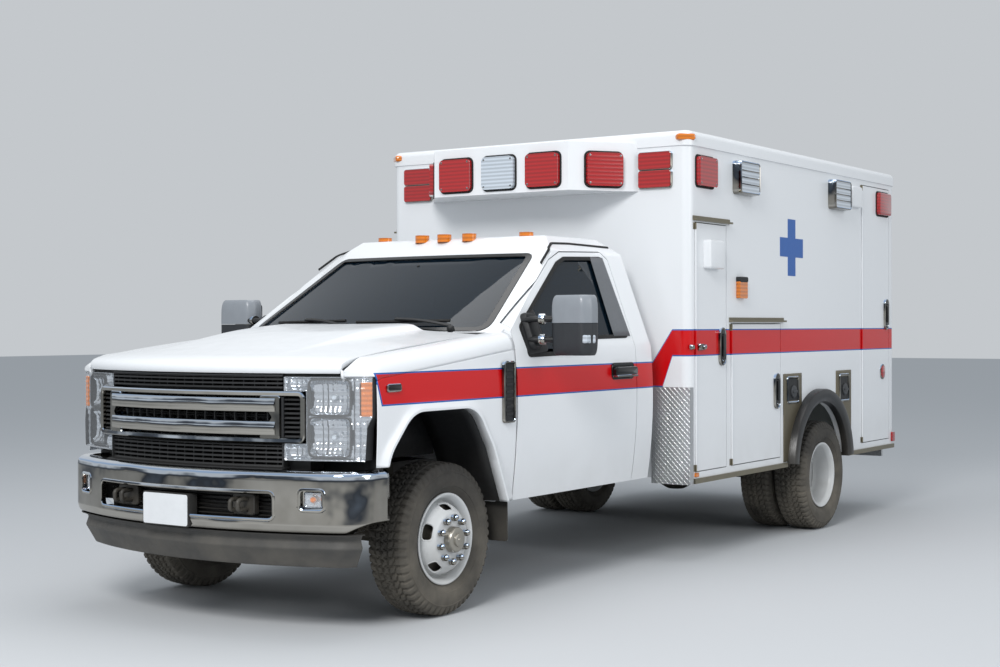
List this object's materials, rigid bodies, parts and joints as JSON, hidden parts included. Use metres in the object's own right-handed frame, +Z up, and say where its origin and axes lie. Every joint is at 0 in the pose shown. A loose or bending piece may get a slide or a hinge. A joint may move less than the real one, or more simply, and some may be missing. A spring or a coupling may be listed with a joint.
{
  "type": "ambulance",
  "caption": "Box-bodied ambulance on a heavy pickup chassis cab with lockers, opening doors, hood, twin rear wheels and working steering.",
  "frame": {"origin": "middle of the bounding box on the ground plane, between the front and rear axles", "axes": "+Z up, -Y towards the front of the vehicle, +X towards the vehicle's left side"},
  "size_m": [2.6574, 7.09, 2.712],
  "materials": {
    "white_paint": "white gloss two-pack paint on steel and aluminium",
    "chrome": "bright chrome plate",
    "black_trim": "black grained moulded plastic",
    "rubber": "black rubber",
    "tyre": "black tyre rubber",
    "wheel_steel": "white painted pressed steel",
    "chassis_black": "black chassis paint",
    "casting": "bare cast iron",
    "aluminium": "mill finish aluminium",
    "tread_plate": "bright five-bar tread plate",
    "steel": "aluminised steel",
    "glass": "tinted safety glass",
    "red_lens": "red moulded lens",
    "clear_lens": "clear moulded lens",
    "amber_lens": "amber moulded lens",
    "headlamp": "clear lens over a bright reflector",
    "grey_plastic": "grey grained plastic",
    "seat_vinyl": "grey vinyl",
    "cabinet": "light grey laminate",
    "floor_vinyl": "grey sheet vinyl"
  },
  "bodies": {
    "chassis": {"chassis_frame": "chassis_black", "front_axle": "casting", "rear_axle": "casting", "engine_block": "casting", "exhaust": "steel", "fuel_tank": "black_trim", "cab_shell": "white_paint", "cab_glass": "glass", "front_fenders": "white_paint", "grille": "chrome", "headlamps": "headlamp", "front_bumper": "chrome", "air_dam": "black_trim", "cowl_panel": "black_trim", "dashboard": "grey_plastic", "cab_seats": "seat_vinyl", "body_floor": "floor_vinyl", "body_roof": "white_paint", "body_front_wall": "white_paint", "body_left_wall": "white_paint", "body_right_wall": "white_paint", "body_rear_frame": "white_paint", "body_interior": "cabinet", "red_lamps": "red_lens", "clear_lamps": "clear_lens", "amber_lamps": "amber_lens", "tread_plates": "tread_plate", "rubber_flares": "rubber", "trim_rails": "aluminium", "rear_step": "tread_plate"},
    "hood": {"hood": "white_paint"},
    "cab_door_left": {"cab_door_left": "white_paint", "door_glass_left": "glass", "mirror_left": "grey_plastic"},
    "cab_door_right": {"cab_door_right": "white_paint", "door_glass_right": "glass", "mirror_right": "grey_plastic"},
    "locker_door_left_front": {"locker_door_left_front": "white_paint"},
    "locker_door_left_middle": {"locker_door_left_middle": "white_paint"},
    "locker_door_left_rear": {"locker_door_left_rear": "white_paint"},
    "locker_door_right_front": {"locker_door_right_front": "white_paint"},
    "entry_door_right": {"entry_door_right": "white_paint"},
    "locker_door_right_rear": {"locker_door_right_rear": "white_paint"},
    "rear_door_left": {"rear_door_left": "white_paint"},
    "rear_door_right": {"rear_door_right": "white_paint"},
    "steering_wheel": {"steering_wheel": "black_trim"},
    "knuckle_left": {"knuckle_left": "casting"},
    "knuckle_right": {"knuckle_right": "casting"},
    "front_wheel_left": {"front_rim_left": "wheel_steel", "front_tyre_left": "tyre"},
    "front_wheel_right": {"front_rim_right": "wheel_steel", "front_tyre_right": "tyre"},
    "rear_wheels_left": {"rear_rims_left": "wheel_steel", "rear_tyres_left": "tyre"},
    "rear_wheels_right": {"rear_rims_right": "wheel_steel", "rear_tyres_right": "tyre"}
  },
  "joints": [
    {"name": "hood_hinge", "type": "hinge", "parent": "chassis", "child": "hood", "pos_m": [0, -2.1, 1.505], "axis": [-1, 0, 0], "range_deg": [0, 55]},
    {"name": "cab_door_left_hinge", "type": "hinge", "parent": "chassis", "child": "cab_door_left", "pos_m": [1.016, -1.983, 1], "axis": [0, 0, -1], "range_deg": [0, 65]},
    {"name": "cab_door_right_hinge", "type": "hinge", "parent": "chassis", "child": "cab_door_right", "pos_m": [-1.016, -1.983, 1], "axis": [0, 0, 1], "range_deg": [0, 65]},
    {"name": "locker_left_front_hinge", "type": "hinge", "parent": "chassis", "child": "locker_door_left_front", "pos_m": [1.174, -0.193, 1.3], "axis": [0, 0, -1], "range_deg": [0, 110]},
    {"name": "locker_left_middle_hinge", "type": "hinge", "parent": "chassis", "child": "locker_door_left_middle", "pos_m": [1.174, 0.322, 1.3], "axis": [0, 0, -1], "range_deg": [0, 110]},
    {"name": "locker_left_rear_hinge", "type": "hinge", "parent": "chassis", "child": "locker_door_left_rear", "pos_m": [1.174, 2.637, 1.3], "axis": [0, 0, -1], "range_deg": [0, 110]},
    {"name": "locker_right_front_hinge", "type": "hinge", "parent": "chassis", "child": "locker_door_right_front", "pos_m": [-1.174, -0.193, 1.3], "axis": [0, 0, 1], "range_deg": [0, 110]},
    {"name": "entry_door_hinge", "type": "hinge", "parent": "chassis", "child": "entry_door_right", "pos_m": [-1.174, 0.332, 1.3], "axis": [0, 0, 1], "range_deg": [0, 110]},
    {"name": "locker_right_rear_hinge", "type": "hinge", "parent": "chassis", "child": "locker_door_right_rear", "pos_m": [-1.174, 2.637, 1.3], "axis": [0, 0, 1], "range_deg": [0, 110]},
    {"name": "rear_door_left_hinge", "type": "hinge", "parent": "chassis", "child": "rear_door_left", "pos_m": [0.625, 3.361, 1.63], "axis": [0, 0, -1], "range_deg": [0, 110]},
    {"name": "rear_door_right_hinge", "type": "hinge", "parent": "chassis", "child": "rear_door_right", "pos_m": [-0.625, 3.361, 1.63], "axis": [0, 0, 1], "range_deg": [0, 110]},
    {"name": "steer_left", "type": "hinge", "parent": "chassis", "child": "knuckle_left", "pos_m": [0.77, -2.525, 0.395], "axis": [0, 0, 1], "range_deg": [-35, 35]},
    {"name": "steer_right", "type": "hinge", "parent": "chassis", "child": "knuckle_right", "pos_m": [-0.77, -2.525, 0.395], "axis": [0, 0, 1], "range_deg": [-35, 35]},
    {"name": "steering_column", "type": "hinge", "parent": "chassis", "child": "steering_wheel", "pos_m": [0.4, -1.515, 1.315], "axis": [0, -0.9397, -0.3419], "range_deg": [-560, 560]},
    {"name": "front_wheel_left_spin", "type": "hinge", "parent": "knuckle_left", "child": "front_wheel_left", "pos_m": [0.964, -2.525, 0.395], "axis": [1, 0, 0], "continuous": true},
    {"name": "front_wheel_right_spin", "type": "hinge", "parent": "knuckle_right", "child": "front_wheel_right", "pos_m": [-0.964, -2.525, 0.395], "axis": [1, 0, 0], "continuous": true},
    {"name": "rear_wheels_left_spin", "type": "hinge", "parent": "chassis", "child": "rear_wheels_left", "pos_m": [0.964, 1.775, 0.395], "axis": [1, 0, 0], "continuous": true},
    {"name": "rear_wheels_right_spin", "type": "hinge", "parent": "chassis", "child": "rear_wheels_right", "pos_m": [-0.964, 1.775, 0.395], "axis": [1, 0, 0], "continuous": true}
  ],
  "couplings": [
    {"joint": "steer_right", "follows": "steer_left", "ratio": 1},
    {"joint": "steering_column", "follows": "steer_left", "ratio": 16}
  ]
}
